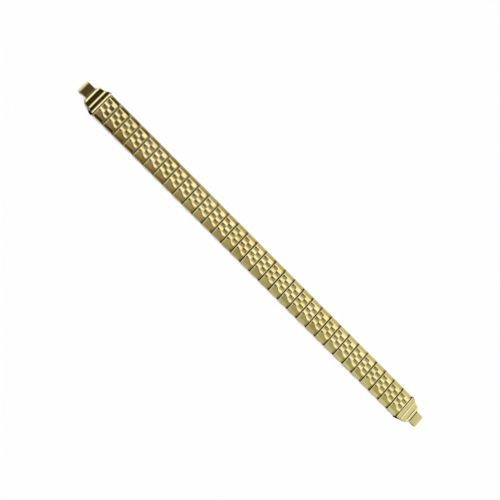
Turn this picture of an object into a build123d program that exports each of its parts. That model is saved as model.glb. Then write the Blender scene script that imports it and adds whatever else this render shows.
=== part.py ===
from build123d import *
from math import atan, cos, sqrt
import os

# Expansion watch band, lying flat and straight, at its closed length.
# X runs along the band, Y across it, and Z from the skin side to the face side.
# The origin is on the skin side, under the middle of the band. Sizes are in millimetres.

# Rows of links. Under link n lies half a pitch after top link n.
top_links = 32
pitch = 4.2
link_gap = 0.14
row_gap = 0.10
held_links = 3  # top links that each end unit holds still

# Sleeves: flat steel tubes that lie across the band, open at both edges of it
under_high = 1.05
top_high = 1.10
sleeve_wall = 0.15
sleeve_round = 0.25

# Shells: pressed gold covers over the top sleeves
band_wide = 8.5
crown_wide = 5.8
flank_drop = 0.50
shell_wall = 0.20
relief = 0.20
lip_wall = 0.15
skirt_lift = 0.10
end_rim = 0.20
side_rim = 0.14
column_rib = 0.10
cells_across = 5
seat_play = 0.03

# Staples: flat wire bent into a U, one leg in a top sleeve and one in an under sleeve
wire_thick = 0.25
wire_wide = 0.55
leg_long = 1.75
leg_play = 0.08
bridge_play = 0.05
wire_bend = 0.10

# Leaf springs, one in each sleeve
spring_thick = 0.10
spring_wide = 2.4
spring_long = 5.8
spring_flat = 2.0
spring_rise = 0.10

# End caps. Each tier is a share of the cap's length, then its width and its height at the
# end next to the links and at the end away from them.
cap_long = 4.55
collar_over = 0.10
tier_shares = [
    (0.187, 1.000, 1.000, 1.00, 0.99),
    (0.209, 0.970, 0.890, 0.97, 0.86),
    (0.121, 0.870, 0.870, 0.92, 0.92),
    (0.286, 0.820, 0.760, 0.86, 0.79),
]
flare_share = 0.755
flare_side = 0.20
flare_high_shares = (0.79, 0.77)
flare_lift = 0.45
cap_bevel = 0.35
cap_bevel_drop = 0.15

# End hooks: a tongue from the cap that curls round the watch's spring bar
hook_long = 3.35
hook_wide = 4.0
hook_wall = 0.30
bar_bore_r = 0.65
curl_turn = 300
tongue_root = 1.20

# Places that follow from these sizes
band_half = band_wide / 2
crown_half = crown_wide / 2
link_half = (pitch - link_gap) / 2
top_floor = under_high + row_gap
top_roof = top_floor + top_high
face_high = top_roof + shell_wall + relief
flank_run = band_half - crown_half
flank_slope = flank_drop / flank_run
flank_depth = shell_wall / cos(atan(flank_slope))
skirt_low = top_floor + skirt_lift
seat_half = crown_half + (face_high - flank_depth - top_roof) / flank_slope
sleeve_half = seat_half - seat_play
bridge_in = sleeve_half + bridge_play
bridge_out = bridge_in + wire_thick
leg_top = top_roof - sleeve_wall - leg_play
leg_bottom = sleeve_wall
row_ends = top_links * pitch / 2
cap_half = band_half + collar_over
hook_r = bar_bore_r + hook_wall
tip = row_ends + cap_long + hook_long - link_gap / 2


def top_x(n):
    return (n - (top_links + 1) / 2) * pitch


def under_x(n):
    return top_x(n) + pitch / 2


def block(x_low, x_high, y_low, y_high, z_low, z_high):
    middle = Pos((x_low + x_high) / 2, (y_low + y_high) / 2, (z_low + z_high) / 2)
    return middle * Box(x_high - x_low, y_high - y_low, z_high - z_low)


def mirrored(points):
    """The outline of a shape that is alike on both sides of Y = 0, from its +Y half."""
    return points + [(-y, z) for y, z in reversed(points)]


def along_x(points, x_low, x_high):
    face = make_face(Polyline(*points, close=True))
    return extrude(Plane.YZ.offset(x_low) * face, amount=x_high - x_low)


def sleeve(half_x, z_low, high):
    """A flat tube round the legs of four staples and one leaf spring."""
    outside = RectangleRounded(2 * half_x, high, sleeve_round)
    inner = (2 * (half_x - sleeve_wall), high - 2 * sleeve_wall)
    tube = outside - RectangleRounded(*inner, sleeve_round - sleeve_wall)
    return extrude(Plane.XZ * (Pos(0, z_low + high / 2) * tube), amount=sleeve_half, both=True)


def leaf_spring(z_wall, up):
    """A strip that lies flat on the sleeve's wall in the middle and lifts at both ends. It lies
    on the floor of a top sleeve (up = 1) and under the roof of an under sleeve (up = -1)."""
    near = [(spring_flat / 2, z_wall), (spring_long / 2, z_wall + up * spring_rise)]
    far = [(y, z + up * spring_thick) for y, z in reversed(near)]
    return along_x(mirrored(near + far), -spring_wide / 2, spring_wide / 2)


def shell():
    """A pressed cover: a flat crown with a brick relief, a sloped flank and a skirt on each
    side, and a lip down each end."""
    inner_half = band_half - shell_wall
    flank_low = face_high - flank_drop
    inner_low = face_high - flank_depth - flank_slope * (inner_half - crown_half)
    outer = [(crown_half, face_high), (band_half, flank_low), (band_half, skirt_low)]
    inner = [(inner_half, skirt_low), (inner_half, inner_low), (seat_half, top_roof)]
    cover = along_x(mirrored(outer + inner), -link_half, link_half)
    lip_outline = mirrored(outer)
    for side in (-1, 1):
        ends = sorted((side * link_half, side * (link_half - lip_wall)))
        cover += along_x(lip_outline, *ends)
    return cover - recesses()


def recesses():
    """The sunk cells of the crown: three in the first column, two between them in the next."""
    cell = (crown_wide - 2 * side_rim) / cells_across
    floor = face_high - relief
    reach = link_half - end_rim
    cells = []
    for column, ends in enumerate(((-reach, -column_rib / 2), (column_rib / 2, reach))):
        for place in range(column, cells_across, 2):
            low = (place - cells_across / 2) * cell
            cells.append(block(*ends, low, low + cell, floor, face_high + relief))
    return cells


def staple():
    """A U of flat wire on the +Y edge, its bridge upright outside the sleeves."""
    outer = [(bridge_in - leg_long, leg_bottom), (bridge_out - wire_bend, leg_bottom)]
    outer += [(bridge_out, leg_bottom + wire_bend), (bridge_out, leg_top - wire_bend)]
    outer += [(bridge_out - wire_bend, leg_top), (bridge_in - leg_long, leg_top)]
    inner = [(bridge_in - leg_long, leg_top - wire_thick), (bridge_in, leg_top - wire_thick)]
    inner += [(bridge_in, leg_bottom + wire_thick)]
    inner += [(bridge_in - leg_long, leg_bottom + wire_thick)]
    return along_x(outer + inner, -wire_wide / 2, wire_wide / 2)


def staple_pair(x):
    """The two staples that tie one top link to one under link, one on each edge."""
    return [Pos(x, 0, 0) * piece for piece in (near_staple, far_staple)]


def top_pieces(n):
    return [Pos(top_x(n), 0, 0) * piece for piece in (top_shell, top_sleeve, top_spring)]


def under_pieces(n):
    return [Pos(under_x(n), 0, 0) * piece for piece in (under_sleeve, under_spring)]


def bending_staples(n):
    """They join top link n to under link n."""
    return staple_pair(top_x(n) + pitch / 4)


def stretching_staples(n):
    """They join under link n to top link n + 1."""
    return staple_pair(under_x(n) + pitch / 4)


def tier(x_low, x_high, widths, heights, lift):
    """One tier of an end cap, between two upright cross-sections with bevelled top edges."""
    sections = []
    for x, wide, high in zip((x_low, x_high), widths, heights):
        half = wide / 2
        points = [(half, lift), (half, high - cap_bevel_drop), (half - cap_bevel, high)]
        face = make_face(Polyline(*mirrored(points), close=True))
        sections.append(Plane.YZ.offset(x) * face)
    return loft(sections, ruled=True)


def end_cap():
    """The stepped cap of the +X end, with a pocket for the last under sleeve and a slot for
    the hook's tongue."""
    start = row_ends + link_gap / 2
    x = start
    wide, high = 2 * cap_half, face_high
    cap = None
    for long, wide_in, wide_out, high_in, high_out in tier_shares:
        stop = x + long * cap_long
        widths, heights = (wide_in * wide, wide_out * wide), (high_in * high, high_out * high)
        step = tier(x, stop, widths, heights, 0)
        cap = step if cap is None else cap + step
        x = stop
    flare_widths = (flare_share * wide, hook_wide + 2 * flare_side)
    flare_heights = [share * high for share in flare_high_shares]
    stop = start + cap_long
    cap += tier(x, stop, flare_widths, flare_heights, flare_lift)
    pocket_x = under_x(top_links) + link_half
    pocket_half = sleeve_half + seat_play
    cap -= block(start, pocket_x, -pocket_half, pocket_half, 0, under_high)
    slot_half = hook_wide / 2
    cap -= block(stop - tongue_root, stop, -slot_half, slot_half, tongue_low, tongue_top)
    return cap


def end_hook():
    """The tongue and curl of the +X end. The curl's mouth faces back towards the cap."""
    centre_x = tip - hook_r
    reach = 2 * hook_r
    mouth = 360 - curl_turn
    ring = Circle(hook_r) - Circle(bar_bore_r)
    edge = Vector(0, reach).rotate(Axis.Z, mouth)
    corner = Vector(-reach, reach)
    gap = make_face(Polyline((0, 0), (0, reach), (corner.X, corner.Y), (edge.X, edge.Y), close=True))
    root_x = row_ends + link_gap / 2 + cap_long - tongue_root - centre_x
    flat = Pos(root_x / 2, (bar_bore_r + hook_r) / 2) * Rectangle(-root_x, hook_wall)
    outline = Plane.XZ * (Pos(centre_x, hook_r) * (ring - gap + flat))
    return extrude(outline, amount=hook_wide / 2, both=True)


def save(name, pieces):
    export_step(Compound(children=pieces), f"parts/{name}.step")


os.makedirs("parts", exist_ok=True)
tongue_top = 2 * hook_r
tongue_low = tongue_top - hook_wall

top_shell = shell()
top_sleeve = sleeve(link_half - lip_wall, top_floor, top_high)
top_spring = leaf_spring(top_floor + sleeve_wall, 1)
under_sleeve = sleeve(link_half, 0, under_high)
under_spring = leaf_spring(under_high - sleeve_wall, -1)
far_staple = staple()
near_staple = mirror(far_staple, about=Plane.XZ)

# Moving links, one node each. A node holds its pieces as separate solids.
first_moving = held_links + 1
last_moving = top_links - held_links
for n in range(first_moving, last_moving + 1):
    save(f"top_link_{n:02d}", top_pieces(n))
for n in range(held_links, last_moving + 1):
    save(f"under_link_{n:02d}", under_pieces(n) + bending_staples(n))

# The staples that tilt when the band stretches
tilting = []
for n in range(held_links, last_moving + 1):
    tilting += stretching_staples(n)
save("tilting_staples", tilting)

# End units: held links, a cap and a hook on each end
left_links = []
for n in range(1, held_links + 1):
    left_links += top_pieces(n) + under_pieces(n - 1) + stretching_staples(n - 1)
    if n < held_links:
        left_links += bending_staples(n)
right_links = []
for n in range(last_moving + 1, top_links + 1):
    right_links += top_pieces(n) + under_pieces(n) + bending_staples(n)
    if n < top_links:
        right_links += stretching_staples(n)
save("left_end_links", left_links)
save("right_end_links", right_links)
right_cap = end_cap()
right_hook = end_hook()
save("right_end_cap", [right_cap])
save("right_end_hook", [right_hook])
save("left_end_cap", [mirror(right_cap, about=Plane.YZ)])
save("left_end_hook", [mirror(right_hook, about=Plane.YZ)])

# How far one pair of staples lets two links slide apart: the staple keeps its length while
# its two legs move in from the outer walls of their sleeves to the leaf springs.
leg_rise = leg_top - leg_bottom - wire_thick
top_room = leg_top - wire_thick - (top_floor + sleeve_wall + spring_thick)
under_room = under_high - sleeve_wall - spring_thick - (leg_bottom + wire_thick)
reach = sqrt(leg_rise**2 - (leg_rise - top_room - under_room) ** 2)
print(f"length {2 * tip:.2f}, width {2 * cap_half:.2f}, height {face_high:.2f}")
print(f"one staple pair slides {reach:.2f}; bar bores at x {tip - hook_r:.3f}, z {hook_r:.3f}")
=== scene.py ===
import bpy
import math
import numpy as np
from mathutils import Matrix, Vector


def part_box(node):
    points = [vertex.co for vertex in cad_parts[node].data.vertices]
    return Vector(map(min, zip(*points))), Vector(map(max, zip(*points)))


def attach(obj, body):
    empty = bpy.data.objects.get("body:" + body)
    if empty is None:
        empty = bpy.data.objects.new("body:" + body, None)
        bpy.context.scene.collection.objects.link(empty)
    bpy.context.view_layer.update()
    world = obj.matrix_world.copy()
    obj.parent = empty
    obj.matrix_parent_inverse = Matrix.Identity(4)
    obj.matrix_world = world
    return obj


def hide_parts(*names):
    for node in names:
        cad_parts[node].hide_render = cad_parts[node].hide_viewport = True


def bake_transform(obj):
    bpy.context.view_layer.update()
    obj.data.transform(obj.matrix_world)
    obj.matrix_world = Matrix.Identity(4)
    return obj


# A gold-tone expansion watch band on white: 32 pressed shells with a brick relief, each on a
# sprung steel link, and a stepped cap with a rolled hook on each end.

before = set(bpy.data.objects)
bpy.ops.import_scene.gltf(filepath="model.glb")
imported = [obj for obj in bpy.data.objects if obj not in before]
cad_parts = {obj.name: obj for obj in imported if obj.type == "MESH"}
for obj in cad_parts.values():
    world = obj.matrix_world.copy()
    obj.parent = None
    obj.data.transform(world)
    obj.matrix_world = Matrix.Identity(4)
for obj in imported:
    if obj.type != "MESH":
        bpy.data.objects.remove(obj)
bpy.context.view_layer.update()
mm = 0.001
rng = np.random.default_rng(32)
linkCount = 32
heldLinks = 3  # top links that each end unit holds still

# Places read from the frame, in millimetres
firstLow, firstHigh = (np.array(corner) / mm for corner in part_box("top_link_04"))
lastLow = np.array(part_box("top_link_29")[0]) / mm
underLow = np.array(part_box("under_link_10")[0]) / mm
capLow, capHigh = (np.array(corner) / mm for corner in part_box("right_end_cap"))
hookLow, hookHigh = (np.array(corner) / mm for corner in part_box("right_end_hook"))
stapleLow, stapleHigh = (np.array(corner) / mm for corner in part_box("tilting_staples"))
pitch = (lastLow[0] - firstLow[0]) / (linkCount - 2 * heldLinks - 1)
linkHalf = (firstHigh[0] - firstLow[0]) / 2
bandHalf = firstHigh[1]
faceHigh = firstHigh[2]
topFloor = firstLow[2]


def topX(n):
    # the middle of top link n along the band: the row is centred on the origin
    return (n - (linkCount + 1) / 2) * pitch


def underX(n):
    # under link n lies half a pitch after top link n
    return topX(n) + pitch / 2


def topBody(n):
    # the body that carries top link n
    if n <= heldLinks:
        return "end_unit_left"
    return "end_unit_right" if n > linkCount - heldLinks else f"top_link_{n:02d}"


def underBody(n):
    # the body that carries under link n
    if n < heldLinks:
        return "end_unit_left"
    return "end_unit_right" if n > linkCount - heldLinks else f"under_link_{n:02d}"


def linkNodes(body):
    # the CAD nodes of a body's links: a moving link's node has the name of its body
    endNodes = {"end_unit_left": "left_end_links", "end_unit_right": "right_end_links"}
    return [endNodes.get(body, body)]


# Mesh tools


def roundedPath(corners, radii, arcSteps=7, closed=False):
    # straight runs joined by arcs: each corner is cut back by radius * tan(turn / 2) along both
    # runs, and the arc's points are the centre plus the radius turned from one run to the next
    corners = np.asarray(corners, float)
    count = len(corners)
    points = [] if closed else [corners[:1]]
    for i in range(0 if closed else 1, count if closed else count - 1):
        here, before, after = corners[i], corners[i - 1], corners[(i + 1) % count]
        inward = (here - before) / np.linalg.norm(here - before)
        outward = (after - here) / np.linalg.norm(after - here)
        turn = math.atan2(inward[0] * outward[1] - inward[1] * outward[0], inward @ outward)
        cut = radii[i] * abs(math.tan(turn / 2))
        side = np.array([-inward[1], inward[0]]) * math.copysign(1, turn)
        centre = here - inward * cut + side * radii[i]
        angles = np.linspace(0, turn, arcSteps)
        spoke = -side * radii[i]
        x = spoke[0] * np.cos(angles) - spoke[1] * np.sin(angles)
        y = spoke[0] * np.sin(angles) + spoke[1] * np.cos(angles)
        points.append(centre + np.stack([x, y], 1))
    if not closed:
        points.append(corners[-1:])
    return np.concatenate(points)


def resampled(path, spacing, closest=0.2, digits=5):
    # points at even steps along a path, with the path's own corners kept. A point that follows
    # the one before it by less than the closest share of a step is dropped.
    runs = np.linalg.norm(np.diff(path, axis=0), axis=1)
    along = np.concatenate([[0], np.cumsum(runs)])
    even = np.linspace(0, along[-1], max(2, int(along[-1] / spacing) + 1))
    stations = np.unique(np.round(np.concatenate([along, even]), digits))
    stations = stations[np.concatenate([[True], np.diff(stations) > spacing * closest])]
    return np.stack([np.interp(stations, along, path[:, k]) for k in range(2)], 1)


def gridFaces(rows, columns, wrapRows=False, wrapColumns=False):
    # four-sided faces between neighbouring points of a grid
    r = np.arange(rows if wrapRows else rows - 1)
    c = np.arange(columns if wrapColumns else columns - 1)
    r, c = (a.ravel() for a in np.meshgrid(r, c, indexing="ij"))
    nextR, nextC = (r + 1) % rows, (c + 1) % columns
    corners = [r * columns + c, r * columns + nextC, nextR * columns + nextC, nextR * columns + c]
    return np.stack(corners, 1)


def addPiece(name, parts, material, body=None, replaced=()):
    # one mesh from several (points, faces, closing polygons) parts, in millimetres
    points, faces, start = [], [], 0
    for partPoints, partFaces, polygons in parts:
        points.append(np.asarray(partPoints).reshape(-1, 3))
        faces += (np.asarray(partFaces) + start).tolist()
        faces += [[index + start for index in polygon] for polygon in polygons]
        start += len(points[-1])
    mesh = bpy.data.meshes.new(name)
    mesh.from_pydata((np.concatenate(points) * mm).tolist(), [], faces)
    mesh.polygons.foreach_set("use_smooth", np.ones(len(mesh.polygons), bool))
    mesh.materials.append(material)
    piece = bpy.data.objects.new(name, mesh)
    bpy.context.scene.collection.objects.link(piece)
    if body:
        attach(piece, body)
    if replaced:
        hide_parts(*replaced)
    return piece


def addWall(piece, thick):
    # gives a pressed sheet its thickness, inwards from the face
    wall = piece.modifiers.new("wall", "SOLIDIFY")
    wall.thickness, wall.offset = thick * mm, -1


def strip(path, width, thick, alongY, place, closed=False, edgeRound=0.35, arcSteps=2, beside=0.06):
    # a flat strip carried along a path in one plane: the profile is a rounded rectangle, width
    # across the plane and thick along the path's own normal. Where its round edges are fine, more
    # points, a little way beside them, keep the flat sides' shading flat.
    step = np.roll(path, -1, 0) - np.roll(path, 1, 0) if closed else np.gradient(path, axis=0)
    step /= np.linalg.norm(step, axis=1)[:, None]
    normal = np.stack([-step[:, 1], step[:, 0]], 1)
    w, t, r = width / 2, thick / 2, thick * edgeRound
    profile = roundedPath([(-w, -t), (w, -t), (w, t), (-w, t)], [r] * 4, arcSteps, closed=True)
    if arcSteps > 2:
        inner = w - r - beside
        under, over = (np.array([(-inner, side), (inner, side)]) * (1, t) for side in (-1, 1))
        profile = np.roll(profile, -arcSteps, axis=0)
        half = 2 * arcSteps
        profile = np.concatenate([profile[:half], over[::-1], profile[half:], under])
    inPlane = path[:, None] + normal[:, None] * profile[None, :, 1:]
    across = np.broadcast_to(profile[None, :, 0], inPlane.shape[:2])
    first, high = inPlane[..., 0], inPlane[..., 1]
    points = np.stack((first, across, high) if alongY else (across, first, high), -1)
    rows, columns = points.shape[:2]
    faces = gridFaces(rows, columns, closed, True)
    ends = []
    if not closed:
        ends = [list(range(columns))[::-1], list(range((rows - 1) * columns, rows * columns))]
    if not alongY:
        faces, ends = faces[:, ::-1], [end[::-1] for end in ends]
    return points + np.asarray(place), faces, ends


# Materials


def linear(code):
    # sRGB hex to linear light
    values = [int(code[i:i + 2], 16) / 255 for i in (1, 3, 5)]
    return [v / 12.92 if v <= 0.04045 else ((v + 0.055) / 1.055) ** 2.4 for v in values] + [1]


def addNode(tree, kind, settings=None, links=None):
    # a setting with a capital letter or a number is an input, any other is the node's own
    node = tree.nodes.new(kind)
    for key, value in (settings or {}).items():
        if isinstance(key, int) or key[0].isupper():
            node.inputs[key].default_value = value
        else:
            setattr(node, key, value)
    for key, source in (links or {}).items():
        tree.links.new(source, node.inputs[key])
    return node


def newMaterial(name):
    # a material with a Principled shader and an output, ready for its other nodes
    material = bpy.data.materials.new(name)
    material.use_nodes = True
    tree = material.node_tree
    tree.nodes.clear()
    shader = addNode(tree, "ShaderNodeBsdfPrincipled")
    output = addNode(tree, "ShaderNodeOutputMaterial", {}, {"Surface": shader.outputs["BSDF"]})
    return material, tree, shader, output


def paintShadeOnMetal(tree, shader, colour, roughness, paintedShade, paintedShadeCode):
    # painted shade covers a metal by its share, from 0 to 1: it is a dark colour painted where
    # shade falls, and takes away the metal and its gloss, which is 0.5 where no shade is painted.
    # The roughness comes with the painted shade's own already in it.
    shadedColour = addNode(tree, "ShaderNodeMix", {"data_type": "RGBA", 7: linear(paintedShadeCode)},
                   {0: paintedShade, 6: colour})
    bare = addNode(tree, "ShaderNodeMath", {"operation": "SUBTRACT", 0: 1.0}, {1: paintedShade})
    gloss = addNode(tree, "ShaderNodeMath", {"operation": "MULTIPLY", 1: 0.5}, {0: bare.outputs[0]})
    sources = {"Base Color": shadedColour.outputs[2], "Metallic": bare.outputs[0],
               "Roughness": roughness, "Specular IOR Level": gloss.outputs[0]}
    for name, source in sources.items():
        tree.links.new(source, shader.inputs[name])


# the third colour, after light and deep, is painted shade for the gaps, grooves and sunk cells
goldPlate = dict(
    light="#F7ECBC", deep="#ECDC9C", paintedShade="#2A1A04", roughness=(0.088, 0.143), uneven=3.0,
    mottle=0.5, polishLines=0.05, lineHeight=0.0004, lineStrength=0.12, lineStretch=(0.08, 1, 1),
)


def polishedGoldPlate(settings):
    # Pale yellow gold plate over pressed metal, polished: mirror-like, a little uneven every 3 mm
    # where the press has drawn the sheet, with faint polishing lines along the band. Lines are
    # drawn as coarse as they need to be to show, 0.05 mm apart. Painted shade in the gaps,
    # grooves, sunk cells and corners, where shade falls, is dark, matt and not metallic.
    material, tree, shader, output = newMaterial("polishedGoldPlate")
    place = addNode(tree, "ShaderNodeTexCoord")
    wide = addNode(tree, "ShaderNodeTexNoise",
                   {"Scale": 1 / (settings["uneven"] * mm), "Detail": 2.0},
                   {"Vector": place.outputs["Object"]})
    tone = addNode(tree, "ShaderNodeAttribute", {"attribute_name": "linkTone"})
    amount = addNode(tree, "ShaderNodeMath", {"operation": "MULTIPLY_ADD", 1: settings["mottle"]},
                     {0: wide.outputs["Fac"], 2: tone.outputs["Fac"]})
    colour = addNode(tree, "ShaderNodeMix", {"data_type": "RGBA", 6: linear(settings["light"]),
                                             7: linear(settings["deep"])}, {0: amount.outputs[0]})
    stretch = addNode(tree, "ShaderNodeMapping", {"Scale": settings["lineStretch"]},
                      {"Vector": place.outputs["Object"]})
    lines = addNode(tree, "ShaderNodeTexNoise",
                    {"Scale": 1 / (settings["polishLines"] * mm), "Detail": 1.0},
                    {"Vector": stretch.outputs["Vector"]})
    bump = addNode(tree, "ShaderNodeBump", {"Strength": settings["lineStrength"],
                                            "Distance": settings["lineHeight"] * mm},
                   {"Height": lines.outputs["Fac"]})
    tree.links.new(bump.outputs["Normal"], shader.inputs["Normal"])
    smoothest, roughest = settings["roughness"]
    rough = addNode(tree, "ShaderNodeMapRange", {"To Min": smoothest, "To Max": roughest},
                    {"Value": wide.outputs["Fac"]})
    # the painted shade's share, stored on the points: 1 where the plate is painted dark for the shade in a
    # gap, groove or cell
    paintedShade = addNode(tree, "ShaderNodeAttribute", {"attribute_name": "gapDirt"})
    dull = addNode(tree, "ShaderNodeMath", {"operation": "MAXIMUM"},
                   {0: rough.outputs["Result"], 1: paintedShade.outputs["Fac"]})
    paintShadeOnMetal(tree, shader, colour.outputs[2], dull.outputs[0], paintedShade.outputs["Fac"], settings["paintedShade"])
    return material


# the third colour is painted shade, laid on the steel between two heights
steelPlain = dict(
    colour="#C2BFB6", dark="#9C9990", paintedShade="#241E16", paintedShadeFrom=0.55, paintedShadeTo=0.95,
    roughness=0.34, grain=0.06, grainHeight=0.002, grainStrength=0.2, grainStretch=(0.04, 1, 0.3),
)


def brushedStainlessSteel(settings):
    # Stainless strip, drawn and brushed along the band: grey, soft highlights, with a grain of
    # 0.06 mm across Y. Between the two rows and over them it is painted dark, darker with height
    # between two heights: painted shade for the deep slits between the links, where little light reaches.
    material, tree, shader, output = newMaterial("brushedStainlessSteel")
    place = addNode(tree, "ShaderNodeTexCoord")
    stretch = addNode(tree, "ShaderNodeMapping", {"Scale": settings["grainStretch"]},
                      {"Vector": place.outputs["Object"]})
    grain = addNode(tree, "ShaderNodeTexNoise",
                    {"Scale": 1 / (settings["grain"] * mm), "Detail": 2.0},
                    {"Vector": stretch.outputs["Vector"]})
    colour = addNode(tree, "ShaderNodeMix", {"data_type": "RGBA", 6: linear(settings["colour"]),
                                             7: linear(settings["dark"])}, {0: grain.outputs["Fac"]})
    bump = addNode(tree, "ShaderNodeBump", {"Strength": settings["grainStrength"],
                                            "Distance": settings["grainHeight"] * mm},
                   {"Height": grain.outputs["Fac"]})
    tree.links.new(bump.outputs["Normal"], shader.inputs["Normal"])
    # painted shade: the steel darkens with height, between the two heights
    part = addNode(tree, "ShaderNodeSeparateXYZ", {}, {"Vector": place.outputs["Object"]})
    inside = addNode(tree, "ShaderNodeMapRange", {
        "interpolation_type": "SMOOTHSTEP", "From Min": settings["paintedShadeFrom"] * mm,
        "From Max": settings["paintedShadeTo"] * mm}, {"Value": part.outputs["Z"]})
    dull = addNode(tree, "ShaderNodeMath", {"operation": "MAXIMUM", 0: settings["roughness"]},
                   {1: inside.outputs["Result"]})
    paintShadeOnMetal(tree, shader, colour.outputs[2], dull.outputs[0], inside.outputs["Result"], settings["paintedShade"])
    return material


gold = polishedGoldPlate(goldPlate)
steel = brushedStainlessSteel(steelPlain)
print("materials made")


def marked(piece, **values):
    # stores numbers on the points that the gold reads: linkTone is a link's own tone, and the
    # painted shade's share grows to 1 in the gap between two links, where the plate is painted dark for the
    # shade there
    count = len(piece.data.vertices)
    for name, value in values.items():
        attribute = piece.data.attributes.new(name, "FLOAT", "POINT")
        attribute.data.foreach_set("value", np.broadcast_to(value, count).astype(np.float32))


# Shells, in millimetres and degrees. A pair is where a soft change starts and where it ends,
# unless its note says something else.
shell = dict(
    # each flank: its crown's edge, the place of its bend, and the bend's drop under the face
    flanks=dict(minusY=(2.50, 3.45, 0.19), plusY=(3.05, 3.62, 0.16)), flankDrop=0.50,
    flankRound=1.2, creaseRound=0.25, edgeRound=0.22, skirtLow=1.25, wall=0.14,
    # lips and rims: inside the rims the face dips, and the dip fades out round the flank's edge
    lipRound=0.22, lipLean=0.18, rimWide=0.34, rimDip=0.035, rimSoft=0.06, rimFade=(-0.25, 0.1),
    dish=0.025, dishFade=0.1,
    # cells and bricks in a column: relief is a cell's depth, and edge the width of its end walls
    cells=5, cellWide=1.04, shift=0.05, relief=0.23, pillow=0.014, edge=0.13, cornerCut=0.36,
    # shares of a cell's width, from its +Y edge, but riseAlong and riseAcross are of its depth
    columnShift=0.1, steep=0.22, cellEnd=(1.02, 1.17), cornerLong=0.42, riseFrom=0.2,
    riseAlong=0.30, riseAcross=0.50,
    # the open cell: its +X edge, by places across, in shares, and along X, in millimetres
    openEdge=((0.0, -0.5), (0.2, -0.2), (0.4, -0.05), (0.65, 0.1), (0.82, 0.6), (0.95, 2.2)),
    openSlope=5.5, openCorner=(0.1, 0.8),
    # the cells' painted shade, in shares: its strength and length are for the near and the far end
    cellShade=(1.0, 0.62), cellShadeLong=(0.6, 1.2), cellShadeFrom=0.25, cellShadeTop=(-0.04, 0.06),
    cellShadeEnd=(0.3, 0.5),
    # painted shade on the lips, for the dark gaps: how far in from the edge it lies, and how much farther
    # in at the corners
    lipShade=(0.14, 0.09), cornerShade=0.16, cornerIn=(0.3, 0.1), cornerDown=(0.45, 0.15),
    # what differs from shell to shell: tones are the least and the most, and tiltMost is a number
    # of tilts. The straight shells, next to a cap on either end, have no tilt.
    tones=(0.0, 0.6), tilt=0.55, tiltMost=1.5, tiltHigh=0.7, straight=2,
    xSteps=54, acrossStep=0.08,
)


def smooth(low, high, value):
    # from 0 at low to 1 at high, level before and past them, whichever of the two is larger
    t = np.clip((value - low) / (high - low), 0, 1)
    return t * t * (3 - 2 * t)


def reliefDepth(x, y, far, s):
    # depth of the sunk cells, and how much painted shade they get: in each column every second cell is
    # sunk. It is deepest in its -X, +Y corner, and its floor rises along +X and to the -Y edge.
    # Its +X, +Y corner is cut off, where the brick over it runs on into the next column's brick.
    # The first column's -Y cell has no -Y edge: its floor falls until it meets the flank. The
    # bricks between the cells are pillowed: they fall by the square of the distance from their
    # middle. The painted shade, dark in each sunk cell's -X, +Y corner where shade falls, is
    # strongest and shortest at the -X end of the band, where far is 0.
    # A cell's u grows from 0 to 1 along X, and its w from 0 at the +Y edge to 1 at the -Y edge.
    reach = linkHalf - s["rimWide"]
    soft = s["edge"] / 2
    middle = s["cells"] / 2
    cell = (y - s["shift"]) / s["cellWide"] + middle
    depth = s["pillow"] * (2 * (cell - np.floor(cell)) - 1) ** 2 * (np.abs(cell - middle) < middle)
    cellShade = 0.0
    cellShadeTo = np.interp(far, (0, 1), s["cellShadeLong"])
    for column, (low, high) in enumerate(((-reach, 0.0), (0.0, reach))):
        left = smooth(low - soft, low + soft, x)
        u = (x - low) / (high - low)
        for place in range(column, s["cells"], 2):
            top = (place + 1 - middle + s["columnShift"] * column) * s["cellWide"] + s["shift"]
            w = (top - y) / s["cellWide"]
            if column == 0 and place == 0:
                right = np.interp(w, *zip(*s["openEdge"]))
                fall = math.tan(math.radians(s["openSlope"])) * (top - y)
                sunk = np.maximum(fall, s["relief"] * (1 - smooth(*s["openCorner"], u + w)))
                sunk = sunk * smooth(0.0, s["steep"], w)
            else:
                right = high - s["cornerCut"] * (1 - smooth(0.0, s["cornerLong"], w))
                rise = s["riseAlong"] * u.clip(0, 1) + s["riseAcross"] * smooth(s["riseFrom"], 1.0, w)
                sunk = s["relief"] * (1 - rise) * smooth(0.0, s["steep"], w)
                sunk = sunk * (1 - smooth(*s["cellEnd"], w))
            inColumn = left * (1 - smooth(right - soft, right + soft, x))
            depth = np.maximum(depth, sunk * inColumn)
            # painted shade in the sunk cell's -X, +Y corner, fading along +X and before the -Y edge
            corner = (1 - smooth(s["cellShadeFrom"], cellShadeTo, u)) * smooth(*s["cellShadeTop"], w)
            corner = corner * (1 - smooth(*s["cellShadeEnd"], w))
            cellShade = np.maximum(cellShade, corner * inColumn)
    return depth, cellShade


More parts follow.
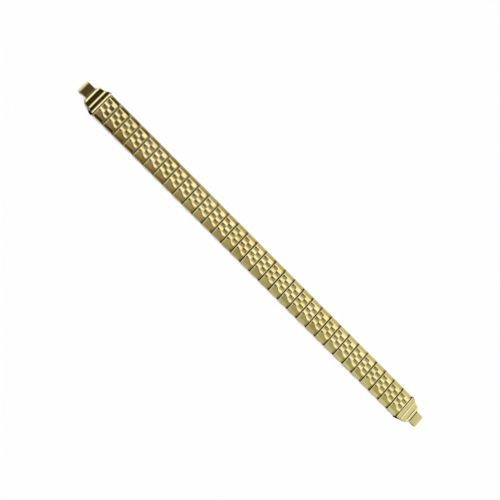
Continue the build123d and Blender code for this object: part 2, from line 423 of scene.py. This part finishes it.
def shellPart(n, s):
    # the cover is a function of two lengths: along x, up one lip, over the face and down the
    # other lip, and across the band, up one skirt, over flank, crown and flank, and down again.
    # Along a lip, sunk grows from 0 at the face to 1 at the skirt's lower edge.
    low = s["skirtLow"]
    flankHigh = faceHigh - s["flankDrop"]
    halves = []
    for side, (crownEdge, bendY, bendDrop) in zip((-1, 1), s["flanks"].values()):
        half = [(bandHalf, low), (bandHalf, flankHigh), (bendY, faceHigh - bendDrop), (crownEdge, faceHigh)]
        halves.append([(side * y, z) for y, z in half])
    radii = [0, s["edgeRound"], s["flankRound"], s["creaseRound"]]
    across = resampled(roundedPath(halves[0] + halves[1][::-1], radii + radii[::-1]), s["acrossStep"])
    r = s["lipRound"]
    lips = roundedPath([(-linkHalf, 1.0), (-linkHalf, 0), (linkHalf, 0), (linkHalf, 1.0)], [0, r, r, 0])
    face = np.linspace(-linkHalf + r, linkHalf - r, s["xSteps"])[1:-1]
    face = np.stack([face, np.zeros_like(face)], 1)
    along = np.concatenate([lips[:len(lips) // 2], face, lips[len(lips) // 2:]])
    x, sunk = along[:, 0][:, None], along[:, 1][:, None]
    y, z = across[:, 0][None, :], across[:, 1][None, :]
    far = (n - 1) / (linkCount - 1)
    depth, cellShade = reliefDepth(x, y, far, s)
    level = np.minimum(z, faceHigh - depth)
    rimInner = linkHalf - s["rimWide"]
    dip = s["rimDip"] * (1 - smooth(rimInner - s["rimSoft"], rimInner + s["rimSoft"], np.abs(x)))
    # the dish runs out over the flanks, and so does the dip inside the rims
    dish = s["dish"] * (1 - (x / linkHalf) ** 2) * smooth(flankHigh, faceHigh - s["dishFade"], z)
    fadeLow, fadeHigh = s["rimFade"]
    level = level - dish - dip * smooth(flankHigh + fadeLow, flankHigh + fadeHigh, z)
    # a lip goes straight down and a little inwards, as deep as its place on the path says
    points = np.stack([np.broadcast_to(x, level.shape), y * (1 - s["lipLean"] * sunk),
                       level + (low - level) * sunk], -1)
    most = s["tiltMost"] * s["tilt"]
    tiltX, tiltY = np.radians(rng.normal(0, s["tilt"], 2).clip(-most, most))
    if n <= s["straight"] or n > linkCount - s["straight"]:
        tiltX, tiltY = 0, 0
    centre = np.array([0, 0, topFloor + s["tiltHigh"]])
    turn = np.array(Matrix.Rotation(tiltX, 3, "X") @ Matrix.Rotation(tiltY, 3, "Y"))
    points = (points - centre) @ turn.T + centre + np.array([topX(n), 0, 0])
    # painted shade on the lips, for the shade in the gaps between links, is a little wider at the
    # flanks' lower corners, and the last link, which the far cap covers, has none on its +X lip
    inLow, inHigh = s["cornerIn"]
    downLow, downHigh = s["cornerDown"]
    corner = smooth(bandHalf - inLow, bandHalf - inHigh, np.abs(y))
    corner = corner * smooth(flankHigh - downLow, flankHigh - downHigh, z)
    paintedShade = smooth(*(linkHalf - np.array(s["lipShade"])), np.abs(x) + s["cornerShade"] * corner)
    paintedShade = paintedShade * ((x < 0) | (n < linkCount))
    # the cells' painted shade and the lips' painted shade together
    paintedShade = np.maximum(cellShade * np.interp(far, (0, 1), s["cellShade"]), paintedShade).ravel()
    return (points, gridFaces(*points.shape[:2])[:, ::-1], []), paintedShade


for n in range(1, linkCount + 1):
    body = topBody(n)
    part, paintedShade = shellPart(n, shell)
    piece = addPiece(f"shell_{n:02d}", [part], gold, body, linkNodes(body))
    marked(piece, linkTone=float(rng.uniform(*shell["tones"])), gapDirt=paintedShade)
    addWall(piece, shell["wall"])
print("shells made")


# Sleeves, springs and staples

sleeves = dict(wall=0.15, bend=0.25, lip=0.15, halfLong=3.37, topHigh=1.10, underHigh=1.05)
topRoof = topFloor + sleeves["topHigh"]
underRoof = sleeves["underHigh"]


def sleevePart(x, low, high, halfX, s):
    # a flat tube: a rounded rectangle seen along Y, with round corners, carried across the band
    t = s["wall"] / 2
    corners = [(-halfX + t, low + t), (halfX - t, low + t), (halfX - t, high - t), (-halfX + t, high - t)]
    path = roundedPath(corners, [s["bend"] - t] * 4, closed=True)
    return strip(path, 2 * s["halfLong"], s["wall"], True, (x, 0, 0), closed=True)


springs = dict(thick=0.10, wide=2.4, halfLong=2.9, rise=0.10, play=0.01, steps=25)


def springPart(x, wall, up, s):
    # a shallow bow: the height follows the square of the distance from the middle
    y = np.linspace(-s["halfLong"], s["halfLong"], s["steps"])
    z = wall + up * (s["thick"] / 2 + s["play"] + s["rise"] * (y / s["halfLong"]) ** 2)
    return strip(np.stack([y, z], 1), s["wide"], s["thick"], False, (x, 0, 0))


staples = dict(thick=0.25, wide=0.55, legEnd=1.67, bend=0.22, arcSteps=4)


def stapleParts(x, s):
    # flat wire bent into a U on each edge of the band, with a leg in either row
    t = s["thick"] / 2
    out, low, high = stapleHigh[1] - t, stapleLow[2] + t, stapleHigh[2] - t
    corners = [(s["legEnd"], high), (out, high), (out, low), (s["legEnd"], low)]
    path = roundedPath(corners, [0, s["bend"], s["bend"], 0], s["arcSteps"])
    sides = [path[::-1] * np.array([-1, 1]), path]
    return [strip(side, s["wide"], s["thick"], False, (x, 0, 0)) for side in sides]


def addSteel(name, n, parts, body):
    # a steel piece that rides on one body and stands in for the solids of its links
    return addPiece(f"{name}_{n:02d}", parts, steel, body, linkNodes(body))


for n in range(1, linkCount + 1):
    tube = sleevePart(topX(n), topFloor, topRoof, linkHalf - sleeves["lip"], sleeves)
    addSteel("topSleeve", n, [tube], topBody(n))
    addSteel("topSpring", n, [springPart(topX(n), topFloor + sleeves["wall"], 1, springs)], topBody(n))
for n in range(0, linkCount + 1):
    body = underBody(n)
    tube = sleevePart(underX(n), underLow[2], underRoof, linkHalf, sleeves)
    addSteel("underSleeve", n, [tube], body)
    addSteel("underSpring", n, [springPart(underX(n), underRoof - sleeves["wall"], -1, springs)], body)
    if n > 0:
        addSteel("bendStaples", n, stapleParts(topX(n) + pitch / 4, staples), body)
    if n < linkCount:
        pair = stapleParts(underX(n) + pitch / 4, staples)
        if body == topBody(n + 1):
            addSteel("tiltStaples", n, pair, body)
        else:
            # these stand between two bodies, with their lower legs in the under link and their
            # upper legs in the top link after it: they ride on no body and stay where they are made
            piece = addPiece(f"tiltStaples_{n:02d}", pair, steel, None, ["tilting_staples"])
            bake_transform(piece)
print("links made")


# End caps and hooks. Each station is how far along the cap, the half width and the top height.
# Close stations make the crisp rounded edges of the tiers. The far cap's collar falls a little
# along its length, as collarFall gives for the near and the far cap.
cap = dict(
    wall=0.22, bevel=0.30, bevelDrop=0.24, low=0.10, bevelSoft=(2.0, 1.6),
    stations=[
        (0.00, 4.35, 2.58), (0.02, 4.35, 2.62), (0.05, 4.35, 2.64), (0.40, 4.35, 2.64),
        (0.45, 4.34, 2.63), (0.50, 4.32, 2.59), (0.55, 4.30, 2.565),
        (1.26, 4.12, 2.41), (1.40, 3.98, 2.38), (1.50, 3.86, 2.358), (1.53, 3.81, 2.36),
        (1.56, 3.79, 2.40), (1.61, 3.78, 2.43),
        (2.00, 3.74, 2.43), (2.05, 3.72, 2.41), (2.10, 3.66, 2.37),
        (3.56, 3.36, 2.055), (3.59, 3.35, 2.06), (3.62, 3.34, 2.10), (3.68, 3.31, 2.12),
        (3.80, 3.23, 2.125), (3.96, 3.08, 2.125), (4.10, 2.86, 2.125), (4.22, 2.60, 2.12),
        (4.34, 2.38, 2.11), (4.44, 2.24, 2.08),
    ],
    # the collar's painted shade fades out along the cap between the pair of lengths that ends the next line
    collarFall=(0.0, 0.016), collarLong=0.5, collarEnd=0.6, paintedShadeLong=(1.26, 1.36),
    grooves=(1.52, 4.44), grooveShade=(0.07, 0.021),  # how near to a groove its painted shade starts and is full
    tone=0.2, xSteps=90, unitRound=0.25, unitArc=6, unitStep=0.07,
)


def capPart(side, s):
    # a cross-section of wall, bevel and crown that changes its half width and height along x
    table = np.array(s["stations"])
    steps = np.unique(np.concatenate([table[:, 0], np.linspace(0, table[-1, 0], s["xSteps"])]))[:, None]
    half = np.interp(steps, table[:, 0], table[:, 1])
    fall = s["collarFall"][side > 0] * np.clip(steps / s["collarLong"], 0, 1) * (steps < s["collarEnd"])
    top = np.interp(steps, table[:, 0], table[:, 2]) - fall
    r = s["unitRound"]
    unit = roundedPath([(-1, 0), (-1, 1), (0, 2), (1, 2), (2, 1), (2, 0)], [0, r, r, r, r, 0], s["unitArc"])
    unit = resampled(unit, s["unitStep"])
    a, b = unit[:, 0][None, :], unit[:, 1][None, :]
    # the unit path runs 0..1 up the wall, 1..2 over the bevel, and 0..1 across the crown
    crown = np.clip(a, 0, 1)
    overLeft, overRight = np.clip(-a, 0, 1), np.clip(a - 1, 0, 1)
    y = (crown * 2 - 1) * (half - s["bevel"]) - overLeft * s["bevel"] + overRight * s["bevel"]
    upWall, upBevel = np.clip(b, 0, 1), np.clip(b - 1, 0, 1)
    z = s["low"] + upWall * (top - s["bevelDrop"] - s["low"]) + upBevel * s["bevelDrop"]
    x = np.broadcast_to(capLow[0] + steps, y.shape)
    points = np.stack([x * side, y, z], -1)
    faces = gridFaces(*points.shape[:2])
    # the collar's bevelled ends are painted dark for shade, and so are the grooves beside the raised tiers
    paintedShade = np.broadcast_to(smooth(*s["bevelSoft"], b), y.shape) * (1 - smooth(*s["paintedShadeLong"], steps))
    for groove in s["grooves"]:
        paintedShade = np.maximum(paintedShade, smooth(*s["grooveShade"], np.abs(steps - groove)))
    return (points, faces if side < 0 else faces[:, ::-1], []), paintedShade.ravel()


hook = dict(
    wall=0.30, bore=0.65, curlTurn=300, curlSteps=61, slope=4, rootIn=0.4, rootRound=0.5,
    # the pair after spacing gives how far past the cap's mouth the painted shade at the tongue's root
    # starts to fade and is gone
    edgeRound=0.3, edgeArc=4, spacing=0.15, paintedShade=(0.10, 0.35), tone=0.3,
)


def hookPart(side, s):
    # a strip that slopes out of the cap and runs on into a roll, down round the spring bar
    middle = s["bore"] + s["wall"] / 2
    centreX = hookHigh[0] - s["bore"] - s["wall"]
    centreZ = s["bore"] + s["wall"]
    angles = np.radians(np.linspace(90 - s["slope"], 90 - s["curlTurn"], s["curlSteps"]))
    curl = np.stack([centreX + middle * np.cos(angles), centreZ + middle * np.sin(angles)], 1)
    rootX = capHigh[0] - s["rootIn"]
    rootZ = curl[0, 1] + (curl[0, 0] - rootX) * math.tan(math.radians(s["slope"]))
    corners = [(hookLow[0], rootZ), (rootX, rootZ), tuple(curl[0])]
    tongue = resampled(roundedPath(corners, [0, s["rootRound"], 0]), s["spacing"])
    path = np.concatenate([tongue[:-1], curl]) * np.array([side, 1])
    path = path[::side]
    return strip(path, hookHigh[1] - hookLow[1], s["wall"], True, (0, 0, 0),
                 edgeRound=s["edgeRound"], arcSteps=s["edgeArc"])


for side, word in ((-1, "left"), (1, "right")):
    body = f"end_unit_{word}"
    part, paintedShade = capPart(side, cap)
    piece = addPiece(f"{word}Cap", [part], gold, body, [f"{word}_end_cap"])
    marked(piece, linkTone=cap["tone"], gapDirt=paintedShade)
    addWall(piece, cap["wall"])
    part = hookPart(side, hook)
    piece = addPiece(f"{word}Hook", [part], gold, body, [f"{word}_end_hook"])
    # painted shade lies where the tongue comes out of the cap, for the shadow in its mouth
    out = np.abs(part[0][..., 0]).ravel() - capLow[0] - cap["stations"][-1][0]
    marked(piece, linkTone=hook["tone"], gapDirt=1 - smooth(*hook["paintedShade"], out))
print("ends made")


# Stage, camera and light

stage = dict(
    floorHalf=3000, floorLevel=-0.02, floorColour="#F7F7F5", roughness=0.9,
    white=0.985,  # how much of the card is plain white to the camera and in the metal
    touch=0.1,  # rays that are shorter than this pass the card
    contact=3.0, samples=12, shadeFrom=0.42, shadeTo=0.49, mirrorFrom=-0.12, mirrorTo=0.56,
)


def whiteFloor(settings):
    # White card: matt, and nearly white to the camera and in the metal, but for a faint shadow
    # and a painted contact shadow, dark where the band stands close over it, which is wider in
    # the metal. The camera's white is the world's behind the card. Its underside isn't there, so
    # that a band that bends down through it stays in view, and nor is it for rays that start within
    # touch of it.
    material, tree, shader, output = newMaterial("whiteCard")
    shader.inputs["Base Color"].default_value = linear(settings["floorColour"])
    shader.inputs["Roughness"].default_value = settings["roughness"]
    rays = addNode(tree, "ShaderNodeLightPath")
    near = addNode(tree, "ShaderNodeAmbientOcclusion", {"Distance": settings["contact"] * mm,
                                                        "samples": settings["samples"]})
    # the shade runs from dark to white between two amounts of open sky. Both are moved for
    # mirrored rays, by mirrorFrom and mirrorTo.
    shadeFrom, shadeTo = (
        addNode(tree, "ShaderNodeMath",
                {"operation": "MULTIPLY_ADD", 1: settings[moved], 2: settings[plain]},
                {0: rays.outputs["Is Glossy Ray"]})
        for moved, plain in (("mirrorFrom", "shadeFrom"), ("mirrorTo", "shadeTo")))
    openness = addNode(tree, "ShaderNodeMapRange", {"interpolation_type": "SMOOTHSTEP"},
                       {"Value": near.outputs["AO"], "From Min": shadeFrom.outputs[0],
                        "From Max": shadeTo.outputs[0]})
    glow = addNode(tree, "ShaderNodeEmission", {"Color": (1, 1, 1, 1)},
                   {"Strength": openness.outputs["Result"]})
    clear = addNode(tree, "ShaderNodeBsdfTransparent", {}, {"Color": openness.outputs["Result"]})
    white = addNode(tree, "ShaderNodeMixShader", {},
                    {0: rays.outputs["Is Camera Ray"], 1: glow.outputs[0], 2: clear.outputs[0]})
    seen = addNode(tree, "ShaderNodeMath", {"operation": "MAXIMUM"},
                   {0: rays.outputs["Is Camera Ray"], 1: rays.outputs["Is Glossy Ray"]})
    share = addNode(tree, "ShaderNodeMath", {"operation": "MULTIPLY", 1: settings["white"]},
                    {0: seen.outputs[0]})
    card = addNode(tree, "ShaderNodeMixShader", {},
                   {0: share.outputs[0], 1: shader.outputs["BSDF"], 2: white.outputs[0]})
    side = addNode(tree, "ShaderNodeNewGeometry")
    below = addNode(tree, "ShaderNodeMath", {"operation": "MAXIMUM"},
                    {0: side.outputs["Backfacing"], 1: rays.outputs["Is Shadow Ray"]})
    touching = addNode(tree, "ShaderNodeMath", {"operation": "LESS_THAN", 1: settings["touch"] * mm},
                       {0: rays.outputs["Ray Length"]})
    gone = addNode(tree, "ShaderNodeMath", {"operation": "MAXIMUM"},
                   {0: below.outputs[0], 1: touching.outputs[0]})
    nothing = addNode(tree, "ShaderNodeBsdfTransparent")
    whole = addNode(tree, "ShaderNodeMixShader", {},
                    {0: gone.outputs[0], 1: card.outputs[0], 2: nothing.outputs[0]})
    tree.links.new(whole.outputs["Shader"], output.inputs["Surface"])
    h, z = settings["floorHalf"], settings["floorLevel"]
    corners = [(-h, -h, z), (h, -h, z), (h, h, z), (-h, h, z)]
    floor = addPiece("floor", [(corners, [[0, 1, 2, 3]], [])], material)


whiteFloor(stage)

# The camera stands nearer the -X end and off the -Y edge, turned so that the band runs from the
# top left to the bottom right. Its focal length is in pixels of the 500 pixel wide photograph.
viewpoint = dict(aim=(-4.03, 0.77, 1.3), distance=340, towardX=-10.61, towardY=-12.0, roll=42.83,
                 focalPixels=1099.4, photoPixels=500, sensor=36, clip=(0.01, 20))


def placeCamera(v):
    # the camera's back points from the aim by two angles off the upright, and its right and up
    # are turned about that by the roll
    a, b = math.radians(v["towardX"]), math.radians(v["towardY"])
    back = Vector((math.sin(a) * math.cos(b), math.sin(b), math.cos(a) * math.cos(b)))
    side = Vector((0, 1, 0)).cross(back).normalized()
    up = back.cross(side)
    turn = math.radians(v["roll"])
    right = side * math.cos(turn) + up * math.sin(turn)
    above = -side * math.sin(turn) + up * math.cos(turn)
    data = bpy.data.cameras.new("camera")
    data.sensor_width = v["sensor"]
    data.lens = v["focalPixels"] / v["photoPixels"] * data.sensor_width
    data.clip_start, data.clip_end = v["clip"]
    camera = bpy.data.objects.new("camera", data)
    bpy.context.scene.collection.objects.link(camera)
    turned = Matrix((right, above, back)).transposed()
    place = Vector(v["aim"]) * mm + back * v["distance"] * mm
    camera.matrix_world = Matrix.LocRotScale(place, turned.to_quaternion(), None)
    bpy.context.scene.camera = camera


placeCamera(viewpoint)

# The softbox hangs level, off the +Y side and towards the +X end, where level faces mirror it
softbox = dict(place=(120, 169, 600), size=(480, 198), power=0.262)


def hangSoftbox(settings):
    # an area light shines down along its own Z, so it needs no turn
    data = bpy.data.lights.new("softbox", "AREA")
    data.shape = "RECTANGLE"
    data.size, data.size_y = (length * mm for length in settings["size"])
    data.energy = settings["power"]
    light = bpy.data.objects.new("softbox", data)
    bpy.context.scene.collection.objects.link(light)
    light.location = Vector(settings["place"]) * mm


hangSoftbox(softbox)

# Colours of the room by direction, each from -1 to 1 along X: past the -Y side, over the band
# and past the +Y side, which take turns along Y at the places in borders. The dark band past the
# -X end is where the photographer stands, and past the +X end it is pale. Near the horizon past
# the +Y side it has the rim's colour. The last ramp, along Y, darkens it past the -Y side.
room = dict(
    minusY=[(-1, "#B4B09C"), (-0.60, "#B4B09C"), (-0.51, "#140E08"), (-0.36, "#140E08"),
            (0.022, "#2C2112"), (0.034, "#8A683C"), (0.18, "#BCBA94"), (0.37, "#F2F4D0"),
            (1, "#E4E4CC")],
    middle=[(-1, "#DEDAC0"), (-0.58, "#DEDAC0"), (-0.50, "#140E08"), (-0.39, "#140E08"),
            (-0.35, "#A8A07C"), (-0.26, "#A8A07C"), (-0.19, "#403C2A"), (-0.12, "#403C2A"),
            (0, "#9D9083"), (0.18, "#958C7A"), (0.40, "#8A8560"), (0.465, "#989872"),
            (0.505, "#DCE1D6"), (1, "#DCDCCB")],
    plusY=[(-1, "#B4B09C"), (-0.60, "#B4B09C"), (-0.51, "#140E08"), (-0.26, "#140E08"),
           (0.026, "#382A14"), (0.038, "#786A48"), (0.09, "#958A62"), (0.18, "#C0B998"),
           (0.37, "#D2D6BA"), (1, "#DCDCC4")],
    borders=dict(middle=(-0.08, 0.06), plusY=(0.50, 0.60)),
    rim="#E6E4D8", rimHigh=(0.12, 0.55), rimSide=(0, 0.6),
    byY=[(-1, "#5A5A5A"), (-0.92, "#6A6A6A"), (-0.80, "#F0F0F0"), (-0.68, "#F0F0F0"),
         (-0.56, "#DCDCDC"), (-0.44, "#E2E2E2"), (-0.28, "#FFFFFF"), (1, "#FFFFFF")],
    strength=1.0,
)


def studioWorld(settings):
    # white to the camera; the metal mirrors the room
    world = bpy.data.worlds.new("studio")
    bpy.context.scene.world = world
    world.use_nodes = True
    tree = world.node_tree
    tree.nodes.clear()
    rays = addNode(tree, "ShaderNodeLightPath")
    place = addNode(tree, "ShaderNodeTexCoord")
    part = addNode(tree, "ShaderNodeSeparateXYZ", {}, {"Vector": place.outputs["Generated"]})

    def byDirection(axis, stops):
        # a ramp of colours along one axis of the direction, whose stops are from -1 to 1
        share = addNode(tree, "ShaderNodeMapRange", {"From Min": -1, "From Max": 1},
                        {"Value": part.outputs[axis]})
        ramp = addNode(tree, "ShaderNodeValToRGB", {}, {"Fac": share.outputs["Result"]})
        elements = ramp.color_ramp.elements
        while len(elements) < len(stops):
            elements.new(1)
        for element, (at, code) in zip(elements, stops):
            element.position, element.color = (at + 1) / 2, linear(code)
        return ramp.outputs["Color"]

    colour = byDirection("X", settings["minusY"])
    for name, (start, end) in settings["borders"].items():
        passed = addNode(tree, "ShaderNodeMapRange", {
            "interpolation_type": "SMOOTHSTEP", "From Min": start, "From Max": end},
            {"Value": part.outputs["Y"]})
        mixed = addNode(tree, "ShaderNodeMix", {"data_type": "RGBA"},
                        {0: passed.outputs["Result"], 6: colour, 7: byDirection("X", settings[name])})
        colour = mixed.outputs[2]
    # the rim's share is how low the direction is, times how far it is past the +Y side
    start, end = settings["rimHigh"]
    lowDown = addNode(tree, "ShaderNodeMapRange", {
        "interpolation_type": "SMOOTHSTEP", "From Min": start, "From Max": end, "To Min": 1,
        "To Max": 0}, {"Value": part.outputs["Z"]})
    start, end = settings["rimSide"]
    beside = addNode(tree, "ShaderNodeMapRange", {
        "interpolation_type": "SMOOTHSTEP", "From Min": start, "From Max": end},
        {"Value": part.outputs["Y"]})
    rimShare = addNode(tree, "ShaderNodeMath", {"operation": "MULTIPLY"},
                       {0: lowDown.outputs["Result"], 1: beside.outputs["Result"]})
    whole = addNode(tree, "ShaderNodeMix", {"data_type": "RGBA", 7: linear(settings["rim"])},
                    {0: rimShare.outputs[0], 6: colour})
    shaded = addNode(tree, "ShaderNodeMix", {"data_type": "RGBA", "blend_type": "MULTIPLY", 0: 1},
                     {6: whole.outputs[2], 7: byDirection("Y", settings["byY"])})
    mirrored = addNode(tree, "ShaderNodeBackground", {"Strength": settings["strength"]},
                       {"Color": shaded.outputs[2]})
    white = addNode(tree, "ShaderNodeBackground", {"Color": (1, 1, 1, 1), "Strength": 1.0})
    mix = addNode(tree, "ShaderNodeMixShader", {},
                  {0: rays.outputs["Is Camera Ray"], 1: mirrored.outputs[0], 2: white.outputs[0]})
    addNode(tree, "ShaderNodeOutputWorld", {}, {"Surface": mix.outputs[0]})


studioWorld(room)
scene = bpy.context.scene
scene.view_settings.view_transform = "Standard"
print("stage, camera and light set")
